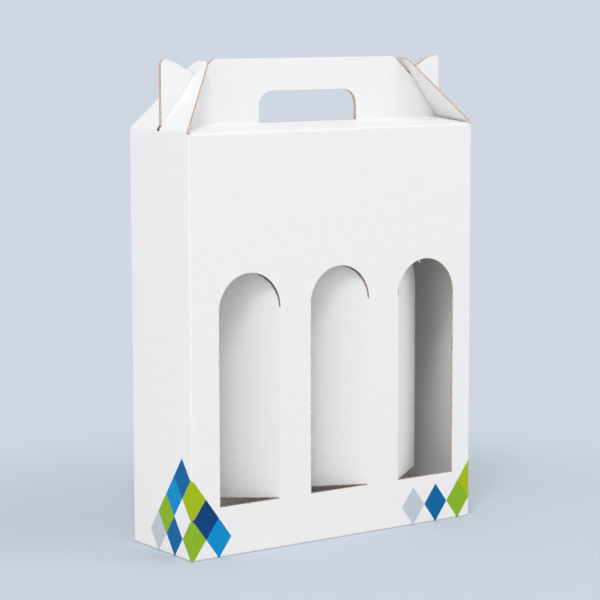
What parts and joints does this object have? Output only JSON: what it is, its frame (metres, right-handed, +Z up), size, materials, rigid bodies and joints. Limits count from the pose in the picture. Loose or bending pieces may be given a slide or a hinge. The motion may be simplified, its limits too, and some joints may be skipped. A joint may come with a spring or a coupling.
{
  "type": "wine gift box",
  "caption": "Upright carton of white-lined fluted board that carries a row of wine bottles, with arched fold-in windows, a hand-hole handle and lock flaps over its ears.",
  "frame": {"origin": "middle of the base, on the surface that the box stands on", "axes": "+Z up, +X to the right seen from the front, the front wall with the windows faces -Y"},
  "size_m": [0.26, 0.0814, 0.3616],
  "materials": {
    "printed_board": "white coated liner with a soft sheen, brown flute at the cut edges",
    "inner_board": "uncoated white liner, matte"
  },
  "bodies": {
    "carton": {"front_panel": "printed_board", "back_panel": "printed_board", "left_side_panel": "printed_board", "right_side_panel": "printed_board", "glue_seam_flap": "inner_board", "front_shoulder": "printed_board", "back_shoulder": "printed_board", "front_handle_panel": "printed_board", "back_handle_panel": "printed_board", "bottom_front_flap": "printed_board", "bottom_back_flap": "printed_board", "bottom_left_flap": "inner_board", "bottom_right_flap": "inner_board", "bottom_left_glue_corner": "inner_board", "bottom_right_glue_corner": "inner_board"},
    "left_window": {"window_flap_left": "printed_board"},
    "middle_window": {"window_flap_middle": "printed_board"},
    "right_window": {"window_flap_right": "printed_board"},
    "left_lock": {"left_lock_flap": "printed_board"},
    "right_lock": {"right_lock_flap": "printed_board"}
  },
  "joints": [
    {"name": "left_window_crease", "type": "hinge", "parent": "carton", "child": "left_window", "pos_m": [-0.0512, -0.0394, 0.109], "axis": [0, 0, -1], "range_deg": [-37, 53]},
    {"name": "middle_window_crease", "type": "hinge", "parent": "carton", "child": "middle_window", "pos_m": [0.0303, -0.0394, 0.109], "axis": [0, 0, -1], "range_deg": [-25, 65]},
    {"name": "right_window_crease", "type": "hinge", "parent": "carton", "child": "right_window", "pos_m": [0.0578, -0.0394, 0.109], "axis": [0, 0, 1], "range_deg": [-38, 52]},
    {"name": "left_lock_crease", "type": "hinge", "parent": "carton", "child": "left_lock", "pos_m": [-0.13, 0, 0.3116], "axis": [0, -1, 0], "range_deg": [0, 128]},
    {"name": "right_lock_crease", "type": "hinge", "parent": "carton", "child": "right_lock", "pos_m": [0.13, 0, 0.3116], "axis": [0, 1, 0], "range_deg": [0, 128]}
  ]
}
